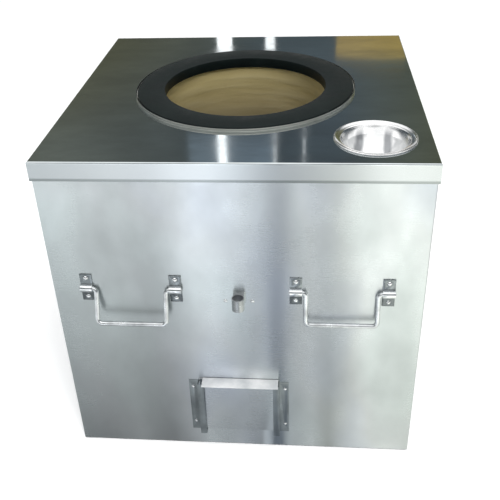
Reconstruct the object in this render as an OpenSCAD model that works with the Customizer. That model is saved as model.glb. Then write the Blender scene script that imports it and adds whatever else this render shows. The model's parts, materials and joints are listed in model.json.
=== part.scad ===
// Square clay tandoor oven: a clay pot packed in insulation inside a riveted stainless steel box.
// Millimetres, +Z up. The origin is on the floor, under the middle of the box. The front faces -Y.

/* [Body] */
// Side of the square top deck, measured over its skirt
deck_w = 762; // [740:1:860]
// Height of the top face of the deck above the floor
deck_z = 732; // [700:1:860]
// How far the deck's skirt stands out past the body panels
deck_lip = 3; // [2.4:0.1:6]
// Height of the deck's folded skirt
skirt_h = 40; // [30:1:60]
// Thickness of the stainless steel sheet
sheet_t = 1.2; // [0.8:0.1:1.6]
// Outside radius of every fold in the sheet
fold_r = 3; // [2.4:0.1:5]
// Width of the strips that the front and rear panels turn round the corners
return_w = 22; // [18:1:32]
// Gap between the floor and the lower edge of the panels
panel_foot = 1.5; // [1:0.1:5]
// Thickness of the bottom plate
base_t = 2; // [1.5:0.1:4]

/* [Frame] */
// Leg of the steel angle that the frame is welded from
angle_w = 25; // [20:1:30]
// Thickness of that angle
angle_t = 3; // [2:0.5:4]

/* [Fire pot] */
// Number of fire bricks across the floor
bricks_x = 3; // [2:1:4]
// Number of fire bricks from front to rear
bricks_y = 6; // [4:1:8]
// Thickness of one fire brick, which is the height of the bed
brick_h = 65; // [40:1:76]
// Joint between bricks
brick_gap = 1.5; // [1:0.1:3]
// Space between the brick bed and the steel frame
bed_gap = 4; // [1:0.5:10]
// Inside radius of the clay pot at its foot
pot_foot_r = 205; // [195:1:215]
// Inside radius of the clay pot at its neck
pot_neck_r = 184; // [182:1:190]
// How much the pot swells between neck and foot
pot_swell = 60; // [40:1:66]
// Thickness of the clay wall
pot_wall = 35; // [25:1:40]
// Depth of the pot's rim below the face of the deck
pot_drop = 16; // [10:1:25]
// Radius of the fire grate
grate_r = 172; // [150:1:176]
// Thickness of the fire grate
grate_t = 12; // [8:1:20]
// Width of one grate bar
grate_bar = 10; // [6:1:14]
// Distance from one grate bar to the next
grate_pitch = 26; // [22:1:34]
// Height of the grate's underside above the brick bed
grate_lift = 118; // [112:1:140]
// Side of one square fire-brick stub under the grate
stub_w = 50; // [40:1:60]
// Distance of the stubs from the middle of the pot
stub_ring_r = 145; // [140:1:150]

/* [Packing] */
// Space between the wool packing and the panels
wool_gap = 14; // [12:1:30]
// Height of the mortar collar round the neck
mortar_h = 76; // [50:1:110]
// Outside radius of the mortar collar
mortar_r = 296; // [280:1:298]
// Clearance between the pot and what is packed round it
pack_gap = 0.4; // [0.3:0.1:1.5]

/* [Mouth] */
// Inside radius of the cast iron mouth ring
mouth_r = 180; // [176:1:181]
// Width of the ring's flat face
ring_w = 61; // [55:1:64]
// Thickness of the ring's flat flange
ring_t = 6; // [5:0.5:12]
// Thickness of the collar that hangs from the ring into the mouth
collar_t = 10; // [8:0.5:14]
// Chamfer along the ring's upper edges
ring_edge = 1.5; // [0.5:0.1:2.5]
// Thickness of the bright band round the ring, and of its foot
trim_t = 1.5; // [1:0.1:2]
// Width of the band's foot, which lies on the deck
trim_foot = 19; // [12:1:20]
// Depth from the top of the ring to the top of the band
trim_drop = 0.6; // [0.3:0.1:3]
// Gap between the ring and the band round it
trim_gap = 2.5; // [1:0.1:3]
// Radius of the deck's mouth opening
mouth_hole_r = 222; // [215:1:225]

/* [Water bowl] */
// Distance from the deck's edges to the middle of the water bowl
bowl_inset = 110; // [105:1:116]
// Radius of the bowl inside its lip
bowl_r = 68; // [60:1:70]
// Depth of the bowl
bowl_depth = 48; // [35:1:56]
// Width of the bowl's lip
bowl_lip = 12; // [8:1:14]
// Radius of the rolled edge round the lip
bowl_roll_r = 1.4; // [1.3:0.1:3]
// Clearance between the bowl and its hole
bowl_gap = 1.5; // [1:0.1:3]

/* [Air door] */
// Place of the air door across the front, from the middle
door_x = -3; // [-20:0.5:20]
// Width of the sliding door
door_w = 175; // [160:1:190]
// Height of the lower ends of the door rails
rail_z = 48; // [40:1:60]
// Length of the door rails
rail_l = 150; // [140:1:170]
// Distance that the rails stand out from the front
rail_depth = 17; // [12:1:24]
// Width of the rail's lip in front of the door
rail_lip = 14; // [8:1:18]
// Width of the rail's flange on the front panel
rail_flange = 20.5; // [16:0.5:28]
// Sheet thickness of the rails and the door
rail_t = 1.5; // [1:0.1:2]
// Height of a rail's lower rivet above the rail's foot
rail_rivet_low = 24; // [16:1:40]
// Depth of a rail's upper rivet below the rail's top
rail_rivet_high = 20; // [12:1:40]
// Running clearance of the door in its rails
door_gap = 1; // [0.5:0.1:2]
// Height that the door's top flange stands above the rails
door_stand = 7; // [3:0.5:20]
// Depth of the door's top flange, which is its pull
pull_depth = 29; // [20:1:40]
// Width of the door's top flange
pull_w = 166; // [150:1:170]
// How far the top flange stands to the right of the door's middle
pull_shift = 4.5; // [-6:0.5:6]
// Width of the air opening
air_w = 128; // [100:1:134]
// Height of the air opening
air_h = 100; // [80:1:108]
// Width of the duct's flange behind the front panel
duct_flange = 14; // [8:1:20]

/* [Lifting handles] */
// Distance of each handle's middle from the side of the body
handle_inset = 164; // [138:1:178]
// Height of the handle's pivot above the floor
handle_z = 446; // [400:1:520]
// Radius of the handle's round bar
rod_r = 5; // [3:0.1:6]
// Width of a saddle
saddle_w = 25; // [20:1:30]
// How far a bend of the bar reaches into its saddle
bend_tuck = 2.5; // [0:0.5:2.5]
// Height of a saddle
saddle_h = 64; // [58:1:80]
// Thickness of a saddle
saddle_t = 2.5; // [1.5:0.1:3]
// Distance between the middles of the handle's legs
leg_pitch = 144; // [120:1:148]
// Drop from the pivot to the middle of the grip
grip_drop = 75; // [60:1:100]
// Middle radius of the handle's bends
rod_bend_r = 10; // [7:0.5:16]
// Running clearance of the bar in its saddle
pivot_gap = 0.8; // [0.5:0.1:1]
// Angle that the front left handle hangs away from the panel
lean_front_left = 19; // [0:1:30]
// Angle that the front right handle hangs away from the panel
lean_front_right = 7; // [0:1:30]
// Angle that the two rear handles hang away from the panel
lean_rear = 11; // [0:1:30]
// Distance between the two bolts of a saddle
bolt_pitch = 45; // [40:1:50]
// Radius of a handle bolt
bolt_r = 3; // [2.5:0.1:4]
// Height of a handle bolt's nut
nut_h = 5; // [4:0.1:7]

/* [Rod socket] */
// Place of the rod socket across the front, from the middle
socket_x = 6; // [-20:1:20]
// Height of the middle of the socket tube
socket_z = 422; // [380:1:460]
// Inside radius of the socket tube
socket_r = 11; // [9:0.1:11]
// Wall of the socket tube
socket_wall = 2; // [1:0.1:3]
// Clearance of a rod in the socket from the deck's skirt
socket_clear = 1; // [0.5:0.1:4]
// Length of the socket tube
socket_l = 28; // [20:1:50]
// Width of the pad that joins the tube to the front panel
socket_pad = 22; // [8:1:24]
// Height of the socket's rivets above the tube's middle
socket_rivet_rise = -5; // [-8:1:8]
// Width of the stiffening plate behind the panel
socket_plate_w = 76; // [70:1:90]
// Height of that stiffening plate
socket_plate_h = 34; // [20:1:40]
// Distance between the socket's rivets
socket_pitch = 55; // [46:1:56]

/* [Rivets and screws] */
// Radius of a rivet's head
rivet_head_r = 4.2; // [3.5:0.1:5.5]
// Radius of a rivet's shank
rivet_r = 2.4; // [1.6:0.1:3]
// Height of the lowest rivet in each corner seam
seam_z = 60; // [50:1:100]
// Number of rivets in each corner seam
seam_rivets = 5; // [3:1:8]
// Distance from the deck's skirt down to the highest rivet of a seam
seam_top = 30; // [15:1:80]
// Distance between the deck's side screws
deck_screw_pitch = 250; // [150:1:300]
// Depth of the deck's side screws below its face
deck_screw_drop = 20; // [14:1:22]

/* [Hidden] */
$fn = 64;
cut = 1;        // how far a cutting tool runs past what it cuts
drill = 10;     // length of the tool that cuts a fastener's hole
hole_gap = 0.2; // how much wider a fastener's hole is than its shank
bolt_gap = 0.1; // how much wider a nut's bore is than its bolt
deck_gap = 0.5; // between the deck's underside and the panels' top edges
tail = 1.5;     // how far a rivet's end stands out behind the sheets
rivet_head_h = 2; // height of a rivet's head
seam_head_h = 1.6; // height of a seam rivet's head
bolt_head = [2, 3]; // how much wider than its shank a bolt's head is, and its height
nut_wall = 2.8; // from a nut's bore to its corners

body_h = deck_w / 2 - deck_lip;        // half the body, over the front and rear panels
side_in = body_h - 2 * sheet_t;        // inner face of a side panel
front_in = body_h - sheet_t;           // inner face of the front panel
bed_z = base_t + brick_h;              // top of the brick bed
under_deck = deck_z - sheet_t;         // underside of the deck
panel_top = under_deck - deck_gap;     // top edge of the panels, just under the deck
rim_z = deck_z - pot_drop;             // top of the clay pot
wool_top = rim_z - mortar_h;           // where the wool ends and the mortar begins
grate_z = bed_z + grate_lift;          // underside of the grate
ring_foot_z = deck_z + trim_t;         // underside of the ring's flange
ring_top_z = ring_foot_z + ring_t;     // top face of the ring
bowl_x = deck_w / 2 - bowl_inset;      // middle of the bowl, from the middle of the deck
handle_x = body_h - handle_inset;      // middle of a handle, from the middle of the panel
saddle_pitch = leg_pitch + 2 * (rod_bend_r - bend_tuck) + saddle_w; // between two saddles' middles
pivot_off = rod_r + pivot_gap;         // distance of a handle's pivot from the panel
arch_r = pivot_off + saddle_t;         // outside radius of a saddle's arch
web_x = door_w / 2 + door_gap;         // inner face of a rail's web, from the door's middle
rail_rivet_x = web_x + rail_t + rail_flange / 2 + 1;
rail_rivet_zs = [rail_z + rail_rivet_low, rail_z + rail_l - rail_rivet_high];
door_foot_z = rail_z + rail_t + 0.3;   // the door stands on the tabs at the rails' lower ends
pull_z = rail_z + rail_l + door_stand; // top of the door's pull
air_z = bed_z + rail_t;                // lower edge of the air opening
side_screw_l = 12;
pot_steps = 24;
bed_w = 2 * (side_in - angle_w - bed_gap);   // width of the brick bed
bed_d = 2 * (front_in - angle_w - bed_gap);  // depth of the brick bed

// Inside radius of the pot at height z.
function pot_share(z) = (z - bed_z) / (rim_z - bed_z);
function pot_r(z) = pot_foot_r + (pot_neck_r - pot_foot_r) * pot_share(z)
    + pot_swell * sin(180 * pot_share(z));
function pot_z(i, from, to) = from + (to - from) * i / pot_steps;

// Heights of the rivets in a corner seam.
function seam_rivet_z(i) = seam_z
    + (deck_z - skirt_h - seam_top - seam_z) * i / (seam_rivets - 1);

// A domed rivet or bolt with its head on the plane z = 0 and its shank below.
module domed_pin(head_r, head_h, shank_r, length) {
    dome_r = (head_r * head_r + head_h * head_h) / (2 * head_h);
    intersection() {
        translate([0, 0, head_h - dome_r]) sphere(r = dome_r);
        cylinder(r = head_r + cut, h = head_h + cut);
    }
    translate([0, 0, -length]) cylinder(r = shank_r, h = length + 0.2);
}

// The same pin, pointing out of the front, or out of a side (+1 right, -1 left).
module front_pin(head_r, head_h, shank_r, length) {
    rotate([90, 0, 0]) domed_pin(head_r, head_h, shank_r, length);
}
module side_pin(side, head_r, head_h, shank_r, length) {
    rotate([0, side * 90, 0]) domed_pin(head_r, head_h, shank_r, length);
}

module front_hole(r, length) {
    rotate([90, 0, 0]) translate([0, 0, -length / 2]) cylinder(r = r, h = length);
}
module side_hole(r, length) {
    rotate([0, 90, 0]) translate([0, 0, -length / 2]) cylinder(r = r, h = length);
}

// Turns what faces the front into what faces the rear.
module facing(rear) {
    rotate([0, 0, rear ? 180 : 0]) children();
}

// ---- frame ----

// Plan of the space inside the panels. Its corners are round, to clear the folds of the panels.
module inside_plan() {
    translate([-side_in, -front_in + fold_r]) square([2 * side_in, 2 * (front_in - fold_r)]);
    translate([-side_in + fold_r, -front_in]) square([2 * (side_in - fold_r), 2 * front_in]);
    for (sx = [-1, 1], sy = [-1, 1])
        translate([sx * (side_in - fold_r), sy * (front_in - fold_r)]) circle(r = fold_r);
}

module angle_ring(leg_up) {
    difference() {
        linear_extrude(height = angle_w) inside_plan();
        translate([-side_in + angle_w, -front_in + angle_w, -cut])
            cube([2 * (side_in - angle_w), 2 * (front_in - angle_w), angle_w + 2 * cut]);
        translate([-side_in + angle_t, -front_in + angle_t, leg_up ? angle_t : -cut])
            cube([2 * (side_in - angle_t), 2 * (front_in - angle_t), angle_w - angle_t + cut]);
    }
}

module base_plate() {
    color("dimgray") linear_extrude(height = base_t) inside_plan();
}

module base_frame() {
    color("dimgray") translate([0, 0, base_t]) angle_ring(true);
}

module top_frame() {
    color("dimgray") difference() {
        translate([0, 0, under_deck - angle_w]) angle_ring(false);
        deck_screw_holes(4 * side_screw_l);
    }
}

module corner_posts() {
    post_foot = base_t + angle_w;
    post_l = under_deck - 2 * angle_w - base_t;
    color("dimgray") difference() {
        translate([0, 0, post_foot]) linear_extrude(height = post_l) difference() {
            inside_plan();
            square([2 * (side_in - angle_t), 2 * (front_in - angle_t)], center = true);
            square([2 * (side_in - angle_w), 3 * front_in], center = true);
            square([3 * side_in, 2 * (front_in - angle_w)], center = true);
        }
        seam_holes();
    }
}

// ---- body panels ----

// Plan of a front panel: a sheet whose ends are folded back round the corners.
module folded_plan(half, r, depth) {
    translate([-half + r, -half]) square([2 * (half - r), depth]);
    translate([-half, -half + r]) square([2 * half, depth - r]);
    for (s = [-1, 1]) translate([s * (half - r), -half + r]) circle(r = r);
}

module folded_panel() {
    inner_r = fold_r - sheet_t;
    translate([0, 0, panel_foot]) linear_extrude(height = panel_top - panel_foot) difference() {
        folded_plan(body_h, fold_r, return_w);
        folded_plan(body_h - sheet_t, inner_r, return_w + cut);
    }
}

module seam_places() {
    for (side = [-1, 1], end = [-1, 1], i = [0 : seam_rivets - 1])
        translate([side * body_h, end * (body_h - return_w / 2), seam_rivet_z(i)]) children();
}

module seam_holes() {
    seam_places() side_hole(rivet_r + hole_gap, 2 * angle_w);
}

// Middles of the handle bolts on the front panel.
module handle_bolt_places() {
    for (h = [-1, 1], s = [-1, 1], b = [-1, 1])
        translate([h * handle_x + s * saddle_pitch / 2, -body_h, handle_z + b * bolt_pitch / 2])
            children();
}

module rail_rivet_places() {
    for (s = [-1, 1], z = rail_rivet_zs)
        translate([door_x + s * rail_rivet_x, -body_h, z]) children();
}

module socket_rivet_places() {
    for (s = [-1, 1])
        translate([socket_x + s * socket_pitch / 2, -body_h, socket_z + socket_rivet_rise])
            children();
}

module front_panel() {
    color("lightgray") difference() {
        folded_panel();
        seam_holes();
        handle_bolt_places() front_hole(bolt_r + hole_gap, drill);
        rail_rivet_places() front_hole(rivet_r + hole_gap, drill);
        socket_rivet_places() front_hole(rivet_r + hole_gap, drill);
        translate([door_x - air_w / 2, -body_h - cut, air_z])
            cube([air_w, 2 * cut + sheet_t, air_h]);
    }
}

module rear_panel() {
    color("lightgray") difference() {
        facing(true) folded_panel();
        seam_holes();
        facing(true) handle_bolt_places() front_hole(bolt_r + hole_gap, drill);
    }
}

module side_panel(side) {
    panel_y = front_in - fold_r;
    color("silver") difference() {
        translate([side > 0 ? side_in : -side_in - sheet_t, -panel_y, panel_foot])
            cube([sheet_t, 2 * panel_y, panel_top - panel_foot]);
        seam_holes();
        deck_screw_holes(4 * side_screw_l);
    }
}

module left_panel() { side_panel(-1); }
module right_panel() { side_panel(1); }

module panel_rivets() {
    rivet_l = 2 * sheet_t + angle_t + tail;
    color("white") for (side = [-1, 1], end = [-1, 1], i = [0 : seam_rivets - 1])
        translate([side * body_h, end * (body_h - return_w / 2), seam_rivet_z(i)])
            side_pin(side, rivet_head_r, seam_head_h, rivet_r, rivet_l);
}

// ---- fire pot ----

// The bricks are cut to fill the floor inside the frame.
module fire_bricks() {
    brick_l = (bed_w - (bricks_x - 1) * brick_gap) / bricks_x;
    brick_w = (bed_d - (bricks_y - 1) * brick_gap) / bricks_y;
    color("burlywood") for (i = [0 : bricks_x - 1], j = [0 : bricks_y - 1])
        translate([i * (brick_l + brick_gap) - bed_w / 2, j * (brick_w + brick_gap) - bed_d / 2,
                   base_t])
            cube([brick_l, brick_w, brick_h]);
}

// Solid of revolution out to the pot's inside wall plus grow, between two heights.
module pot_body(grow, from, to) {
    rotate_extrude() polygon(concat(
        [[0, from]],
        [for (i = [0 : pot_steps]) [pot_r(pot_z(i, from, to)) + grow, pot_z(i, from, to)]],
        [[0, to]]
    ));
}

// A square passage through the front at the height of the air opening.
module air_way(width, height, from_y, to_y) {
    translate([door_x - width / 2, from_y, air_z + air_h / 2 - height / 2])
        cube([width, to_y - from_y, height]);
}

module clay_pot() {
    color("peru") difference() {
        rotate_extrude() polygon(concat(
            [for (i = [0 : pot_steps]) [pot_r(pot_z(i, bed_z, rim_z)), pot_z(i, bed_z, rim_z)]],
            [for (i = [pot_steps : -1 : 0])
                [pot_r(pot_z(i, bed_z, rim_z)) + pot_wall, pot_z(i, bed_z, rim_z)]]
        ));
        air_way(air_w, air_h, -body_h, -pot_foot_r / 2);
    }
}

module grate_stubs() {
    color("burlywood") for (a = [90, 210, 330])
        rotate([0, 0, a]) translate([stub_ring_r - stub_w / 2, -stub_w / 2, bed_z])
            cube([stub_w, stub_w, grate_lift]);
}

module fire_grate() {
    bars = floor((grate_r - grate_bar) / grate_pitch);
    color("darkslategray") translate([0, 0, grate_z]) {
        difference() {
            cylinder(r = grate_r, h = grate_t);
            translate([0, 0, -cut]) cylinder(r = grate_r - grate_bar, h = grate_t + 2 * cut);
        }
        intersection() {
            cylinder(r = grate_r - grate_bar / 2, h = grate_t);
            union() {
                for (i = [-bars : bars])
                    translate([i * grate_pitch - grate_bar / 2, -grate_r, 0])
                        cube([grate_bar, 2 * grate_r, grate_t]);
                translate([-grate_r, -grate_bar / 2, 0]) cube([2 * grate_r, grate_bar, grate_t]);
            }
        }
    }
}

module air_duct() {
    duct_w = air_w + 2 * rail_t;
    duct_h = air_h + 2 * rail_t;
    color("slategray") difference() {
        union() {
            air_way(duct_w, duct_h, -front_in, -pot_foot_r);
            translate([door_x - duct_w / 2 - duct_flange, -front_in, air_z - rail_t])
                cube([duct_w + 2 * duct_flange, rail_t, duct_h + duct_flange]);
        }
        air_way(air_w, air_h, -body_h, 0);
        pot_body(pot_wall + pack_gap, bed_z - cut, rim_z);
    }
}

module wool_packing() {
    wool_h = body_h - wool_gap;
    duct_w = air_w + 2 * (rail_t + pack_gap);
    duct_h = air_h + 2 * (rail_t + pack_gap);
    color("khaki") difference() {
        translate([-wool_h, -wool_h, bed_z]) cube([2 * wool_h, 2 * wool_h, wool_top - bed_z]);
        pot_body(pot_wall + pack_gap, bed_z - cut, rim_z);
        air_way(duct_w, duct_h, -body_h, -pot_foot_r);
    }
}

// The collar leaves room for the water bowl where the two come near each other.
module mortar_collar() {
    collar_top = under_deck - pack_gap;
    color("tan") difference() {
        translate([0, 0, wool_top]) cylinder(r = mortar_r, h = collar_top - wool_top);
        translate([bowl_x, -bowl_x, wool_top - cut])
            cylinder(r = bowl_r + bowl_gap, h = collar_top - wool_top + 2 * cut);
        pot_body(pot_wall + pack_gap, bed_z, rim_z);
        translate([0, 0, rim_z - cut])
            cylinder(r = pot_neck_r + pot_wall + pack_gap, h = collar_top - rim_z + 2 * cut);
    }
}

// ---- deck, mouth and bowl ----

// Section of a folded tray turned upside down: square below, rounded at its two upper corners.
module tray_section(w, h, r) {
    translate([-w / 2, 0]) square([w, h - r]);
    translate([-w / 2 + r, 0]) square([w - 2 * r, h]);
    for (s = [-1, 1]) translate([s * (w / 2 - r), h - r]) circle(r = r);
}

// A square block whose four upper edges are rounded and meet in mitres.
module folded_block(w, h, r) {
    intersection() {
        rotate([90, 0, 0]) translate([0, 0, -w / 2]) linear_extrude(height = w)
            tray_section(w, h, r);
        rotate([90, 0, 90]) translate([0, 0, -w / 2]) linear_extrude(height = w)
            tray_section(w, h, r);
    }
}

module deck_screw_places() {
    for (side = [-1, 1], i = [-1 : 1])
        translate([side * deck_w / 2, i * deck_screw_pitch, deck_z - deck_screw_drop]) children();
}

module deck_screw_holes(length) {
    deck_screw_places() side_hole(rivet_r + hole_gap, length);
}

module top_deck() {
    color("gray") difference() {
        translate([0, 0, deck_z - skirt_h]) folded_block(deck_w, skirt_h, fold_r);
        translate([0, 0, deck_z - skirt_h - cut])
            folded_block(deck_w - 2 * sheet_t, skirt_h + cut - sheet_t, fold_r - sheet_t);
        translate([0, 0, under_deck - cut]) cylinder(r = mouth_hole_r, h = sheet_t + 2 * cut);
        translate([bowl_x, -bowl_x, under_deck - cut])
            cylinder(r = bowl_r + bowl_gap, h = sheet_t + 2 * cut);
        deck_screw_holes(10);
    }
}

module deck_screws() {
    color("white") for (side = [-1, 1], i = [-1 : 1])
        translate([side * deck_w / 2, i * deck_screw_pitch, deck_z - deck_screw_drop])
            side_pin(side, rivet_head_r, rivet_head_h, rivet_r, side_screw_l);
}

module mouth_trim() {
    outer_r = mouth_r + ring_w + trim_gap + trim_t;
    color("lightgray") translate([0, 0, deck_z]) difference() {
        cylinder(r = outer_r, h = trim_t + ring_t - trim_drop);
        translate([0, 0, trim_t]) cylinder(r = outer_r - trim_t, h = ring_t + cut);
        translate([0, 0, -cut]) cylinder(r = outer_r - trim_foot, h = trim_t + 2 * cut);
    }
}

module mouth_ring() {
    outer_r = mouth_r + ring_w;
    color("black") rotate_extrude() polygon([
        [mouth_r, rim_z],
        [mouth_r + collar_t, rim_z],
        [mouth_r + collar_t, ring_foot_z],
        [outer_r, ring_foot_z],
        [outer_r, ring_top_z - ring_edge],
        [outer_r - ring_edge, ring_top_z],
        [mouth_r + ring_edge, ring_top_z],
        [mouth_r, ring_top_z - ring_edge]
    ]);
}

module water_bowl() {
    sphere_r = (bowl_r * bowl_r + bowl_depth * bowl_depth) / (2 * bowl_depth);
    centre_z = sphere_r - bowl_depth;
    color("gainsboro") translate([bowl_x, -bowl_x, deck_z]) {
        intersection() {
            difference() {
                translate([0, 0, centre_z]) sphere(r = sphere_r);
                translate([0, 0, centre_z]) sphere(r = sphere_r - sheet_t);
            }
            translate([0, 0, -bowl_depth - cut]) cylinder(r = bowl_r + cut, h = bowl_depth + cut);
        }
        difference() {
            cylinder(r = bowl_r + bowl_lip - bowl_roll_r, h = sheet_t);
            translate([0, 0, -cut]) cylinder(r = bowl_r - sheet_t, h = sheet_t + 2 * cut);
        }
        translate([0, 0, bowl_roll_r]) rotate_extrude()
            translate([bowl_r + bowl_lip - bowl_roll_r, 0]) circle(r = bowl_roll_r);
    }
}

// ---- air door ----

// The right-hand rail, drawn from the door's middle. The left one is its mirror image.
module door_rail() {
    lip_x = web_x + rail_t - rail_lip;
    translate([0, -body_h, 0]) difference() {
        union() {
            translate([web_x, -rail_t, rail_z]) cube([rail_t + rail_flange, rail_t, rail_l]);
            translate([web_x, -rail_depth, rail_z]) cube([rail_t, rail_depth, rail_l]);
            translate([lip_x, -rail_depth, rail_z]) cube([rail_lip, rail_t, rail_l]);
            translate([lip_x, -rail_depth, rail_z]) cube([rail_lip, rail_depth, rail_t]);
        }
        for (z = rail_rivet_zs)
            translate([rail_rivet_x, 0, z]) front_hole(rivet_r + hole_gap, drill);
    }
}

module door_rail_right() {
    color("slategray") translate([door_x, 0, 0]) door_rail();
}

module door_rail_left() {
    color("slategray") translate([door_x, 0, 0]) mirror([1, 0, 0]) door_rail();
}

module rail_rivets() {
    color("white") rail_rivet_places() translate([0, -rail_t, 0])
        front_pin(rivet_head_r, rivet_head_h, rivet_r, rail_t + sheet_t + tail);
}

module air_door() {
    wing = rail_depth - rail_t - 2 * door_gap;
    color("lightgray") translate([door_x, -body_h - door_gap, 0]) {
        translate([-door_w / 2, -rail_t, door_foot_z])
            cube([door_w, rail_t, pull_z - 1 - door_foot_z]);
        for (x = [-door_w / 2, door_w / 2 - rail_t])
            translate([x, -wing, door_foot_z]) cube([rail_t, wing, rail_l - 4]);
        translate([pull_shift - pull_w / 2, -pull_depth, pull_z - rail_t])
            cube([pull_w, pull_depth, rail_t]);
    }
}

// ---- rod socket ----

module rod_socket() {
    axis_off = deck_lip + socket_clear + socket_r;
    color("lightgray") translate([socket_x, -body_h, socket_z - socket_l / 2]) difference() {
        union() {
            translate([0, -axis_off, 0]) cylinder(r = socket_r + socket_wall, h = socket_l);
            translate([-socket_pad / 2, -axis_off, 0]) cube([socket_pad, axis_off, socket_l]);
        }
        translate([0, -axis_off, -cut]) cylinder(r = socket_r, h = socket_l + 2 * cut);
    }
}

module socket_plate() {
    color("slategray") difference() {
        translate([socket_x - socket_plate_w / 2, -front_in, socket_z - socket_plate_h / 2])
            cube([socket_plate_w, rail_t, socket_plate_h]);
        socket_rivet_places() front_hole(rivet_r + hole_gap, drill);
    }
}

module socket_rivets() {
    color("white") socket_rivet_places()
        front_pin(rivet_head_r, rivet_head_h, rivet_r, sheet_t + rail_t + tail);
}

// ---- lifting handles ----

// A quarter bend of the bar in the XZ plane, starting at angle a.
module rod_bend(x, z, a) {
    translate([x, 0, z]) rotate([90, 0, 0]) rotate([0, 0, a])
        rotate_extrude(angle = 90) translate([rod_bend_r, 0]) circle(r = rod_r);
}

// The bail about its own pivot, hanging straight down.
module bail_shape() {
    leg_x = leg_pitch / 2;
    rod_end = saddle_pitch / 2 + saddle_w / 2 + 1;
    straight = grip_drop - 2 * rod_bend_r;
    for (s = [0, 1]) mirror([s, 0, 0]) {
        translate([leg_x + rod_bend_r, 0, 0]) rotate([0, 90, 0])
            cylinder(r = rod_r, h = rod_end - leg_x - rod_bend_r);
        rod_bend(leg_x + rod_bend_r, -rod_bend_r, 90);
        translate([leg_x, 0, -rod_bend_r - straight]) cylinder(r = rod_r, h = straight);
        rod_bend(leg_x - rod_bend_r, -grip_drop + rod_bend_r, 270);
    }
    translate([-leg_x + rod_bend_r, 0, -grip_drop]) rotate([0, 90, 0])
        cylinder(r = rod_r, h = leg_pitch - 2 * rod_bend_r);
}

// The bail on the front panel, at place -1 (left) or +1 (right).
module bail(place, rear, lean) {
    color("lightgray") facing(rear)
        translate([place * handle_x, -body_h - pivot_off, handle_z])
            rotate([-lean, 0, 0]) bail_shape();
}

module saddle() {
    difference() {
        union() {
            translate([-saddle_w / 2, -saddle_t, -saddle_h / 2])
                cube([saddle_w, saddle_t, saddle_h]);
            translate([-saddle_w / 2, -pivot_off, 0]) rotate([0, 90, 0])
                cylinder(r = arch_r, h = saddle_w);
            translate([-saddle_w / 2, -pivot_off, -arch_r]) cube([saddle_w, pivot_off, 2 * arch_r]);
        }
        translate([-saddle_w / 2 - cut, -pivot_off, 0]) rotate([0, 90, 0])
            cylinder(r = pivot_off, h = saddle_w + 2 * cut);
        translate([-saddle_w / 2 - cut, -pivot_off, -pivot_off])
            cube([saddle_w + 2 * cut, 2 * pivot_off + saddle_t, 2 * pivot_off]);
        translate([-saddle_w / 2 - cut, 0, -arch_r - cut])
            cube([saddle_w + 2 * cut, 3 * arch_r, 2 * arch_r + 2 * cut]);
        for (b = [-1, 1])
            translate([0, 0, b * bolt_pitch / 2]) front_hole(bolt_r + hole_gap, drill);
    }
}

module saddles(place, rear) {
    color("lightgray") facing(rear)
        for (s = [-1, 1])
            translate([place * handle_x + s * saddle_pitch / 2, -body_h, handle_z]) saddle();
}

module handle_bolts(rear) {
    bolt_l = saddle_t + sheet_t + nut_h + 2;
    color("white") facing(rear) handle_bolt_places() translate([0, -saddle_t, 0])
        front_pin(bolt_r + bolt_head[0], bolt_head[1], bolt_r, bolt_l);
}

module handle_nuts(rear) {
    color("silver") facing(rear) handle_bolt_places() rotate([90, 0, 0]) difference() {
        translate([0, 0, -sheet_t - nut_h]) cylinder(r = bolt_r + nut_wall, h = nut_h, $fn = 6);
        translate([0, 0, -sheet_t - nut_h - cut])
            cylinder(r = bolt_r + bolt_gap, h = nut_h + 2 * cut);
    }
}

module bail_front_left() { bail(-1, false, lean_front_left); }
module bail_front_right() { bail(1, false, lean_front_right); }
module bail_rear_left() { bail(1, true, lean_rear); }
module bail_rear_right() { bail(-1, true, lean_rear); }
module saddles_front_left() { saddles(-1, false); }
module saddles_front_right() { saddles(1, false); }
module saddles_rear_left() { saddles(1, true); }
module saddles_rear_right() { saddles(-1, true); }
module handle_bolts_front() { handle_bolts(false); }
module handle_bolts_rear() { handle_bolts(true); }
module handle_nuts_front() { handle_nuts(false); }
module handle_nuts_rear() { handle_nuts(true); }

base_plate();
base_frame();
corner_posts();
top_frame();
front_panel();
rear_panel();
left_panel();
right_panel();
panel_rivets();
fire_bricks();
clay_pot();
grate_stubs();
fire_grate();
air_duct();
wool_packing();
mortar_collar();
top_deck();
deck_screws();
mouth_trim();
mouth_ring();
water_bowl();
door_rail_left();
door_rail_right();
rail_rivets();
air_door();
rod_socket();
socket_plate();
socket_rivets();
bail_front_left();
bail_front_right();
bail_rear_left();
bail_rear_right();
saddles_front_left();
saddles_front_right();
saddles_rear_left();
saddles_rear_right();
handle_bolts_front();
handle_bolts_rear();
handle_nuts_front();
handle_nuts_rear();
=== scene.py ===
# %% [markdown]
# # A clay tandoor oven
#
# This notebook dresses a finished construction model of a square clay tandoor oven. The
# construction model already holds every sheet, bar, rivet and brick at its real size, so
# nothing here moves or resizes them. What is added is the look: how each metal is polished, how
# the clay was rubbed smooth by hand, how cast iron and mortar break up the light.
#
# The first cell loads the model. It comes as one object for each piece of the oven, all in
# metres and in one frame: the floor is at z = 0, the front faces -Y, and the round mouth is
# centred over the origin.

# %% Load the construction model
import json
import math

import bmesh
import bpy
from mathutils import Matrix, Vector, noise

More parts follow.
